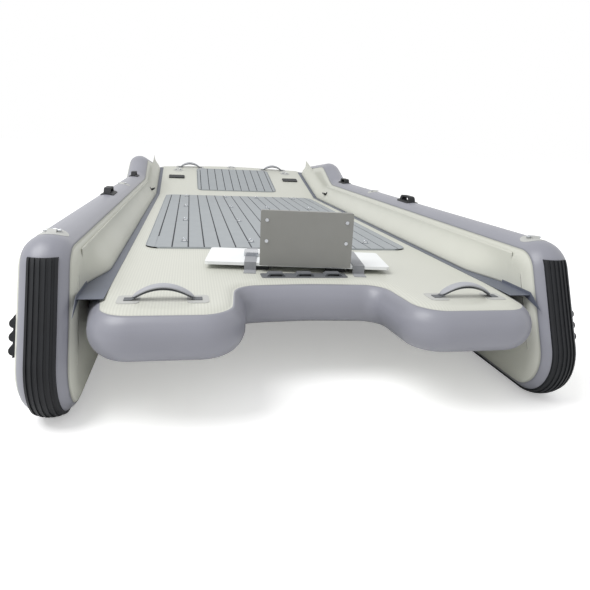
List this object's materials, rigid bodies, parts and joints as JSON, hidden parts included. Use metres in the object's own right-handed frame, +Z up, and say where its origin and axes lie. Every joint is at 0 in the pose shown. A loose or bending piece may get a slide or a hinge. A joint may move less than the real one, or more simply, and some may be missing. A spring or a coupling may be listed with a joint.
{
  "type": "inflatable catamaran",
  "caption": "Inflatable catamaran: upright side hulls, a drop-stitch deck with motor notch and bow ramp, foam pads, handles and a strapped-on motor mount.",
  "frame": {"origin": "on the floor, at the bottom centre of the whole boat", "axes": "+X starboard, +Y to the bow, +Z up"},
  "size_m": [1.586, 3.6201, 0.5745],
  "materials": {
    "cream_coated_fabric": "satin cream PVC-coated drop-stitch fabric with lavender-grey edge bands",
    "slate_seam_tape": "slate PVC seam tape",
    "black_rubber": "ribbed black rubber",
    "grey_foam": "brushed grey closed-cell foam with dark plank lines",
    "black_plastic": "black moulded plastic",
    "stainless_steel": "stainless steel",
    "grey_patch": "grey PVC patch",
    "grey_webbing": "grey webbing",
    "grey_painted_plate": "grey painted aluminium plate",
    "white_board": "white plastic board"
  },
  "bodies": {
    "root": {"bow_deck_pad": "grey_foam", "bow_tow_patch": "grey_patch", "bow_tow_ring": "stainless_steel", "deck": "cream_coated_fabric", "deck_tie_eyes": "stainless_steel", "main_deck_pad": "grey_foam", "mount_base_board": "white_board", "mount_feet": "black_plastic", "mount_loop_patch": "grey_patch", "mount_strap_port": "grey_webbing", "mount_strap_starboard": "grey_webbing", "port_accessory_plate": "black_plastic", "port_aft_grab_handle": "black_plastic", "port_bow_handle": "grey_webbing", "port_bow_handle_patches": "grey_patch", "port_fore_grab_handle": "black_plastic", "port_hull": "cream_coated_fabric", "port_inner_cleat": "black_plastic", "port_joint_fillet": "cream_coated_fabric", "port_joint_tape": "slate_seam_tape", "port_keel_guard": "black_rubber", "port_ramp_ring": "stainless_steel", "port_ramp_ring_patch": "grey_patch", "port_rub_rail": "black_rubber", "port_side_ring": "stainless_steel", "port_side_ring_patch": "grey_patch", "port_stern_handle": "grey_webbing", "port_stern_handle_patches": "grey_patch", "port_stern_ring": "stainless_steel", "port_stern_ring_patch": "grey_patch", "starboard_accessory_plate": "black_plastic", "starboard_aft_grab_handle": "black_plastic", "starboard_bow_handle": "grey_webbing", "starboard_bow_handle_patches": "grey_patch", "starboard_fore_grab_handle": "black_plastic", "starboard_hull": "cream_coated_fabric", "starboard_inner_cleat": "black_plastic", "starboard_joint_fillet": "cream_coated_fabric", "starboard_joint_tape": "slate_seam_tape", "starboard_keel_guard": "black_rubber", "starboard_ramp_ring": "stainless_steel", "starboard_ramp_ring_patch": "grey_patch", "starboard_rub_rail": "black_rubber", "starboard_side_ring": "stainless_steel", "starboard_side_ring_patch": "grey_patch", "starboard_stern_handle": "grey_webbing", "starboard_stern_handle_patches": "grey_patch", "starboard_stern_ring": "stainless_steel", "starboard_stern_ring_patch": "grey_patch", "strap_buckle": "stainless_steel", "transom_bolts": "stainless_steel", "transom_bracket_port": "grey_painted_plate", "transom_bracket_starboard": "grey_painted_plate", "transom_plate": "grey_painted_plate"}
  },
  "joints": []
}
